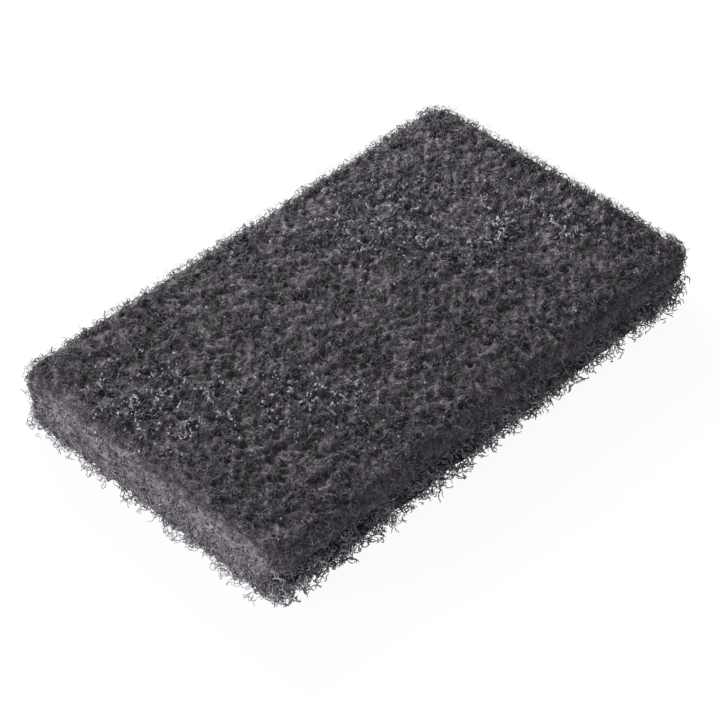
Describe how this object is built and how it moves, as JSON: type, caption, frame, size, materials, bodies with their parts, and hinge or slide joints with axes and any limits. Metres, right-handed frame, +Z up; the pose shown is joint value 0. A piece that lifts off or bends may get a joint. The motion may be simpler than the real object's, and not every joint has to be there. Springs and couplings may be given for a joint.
{
  "type": "scouring pad",
  "caption": "Thick rectangular scouring pad of charcoal crimped fibres bonded into one lofty non-woven slab with a frayed lower rim, for scrubbing by hand.",
  "frame": {"origin": "middle of the face that the pad lies on", "axes": "+Z up out of the upper face, +X along the length, +Y along the width"},
  "size_m": [0.1581, 0.095, 0.02],
  "materials": {
    "fibre": "matte charcoal fibres with a thin resin coat that glints"
  },
  "bodies": {
    "root": {"fibre_pad": "fibre"}
  },
  "joints": []
}
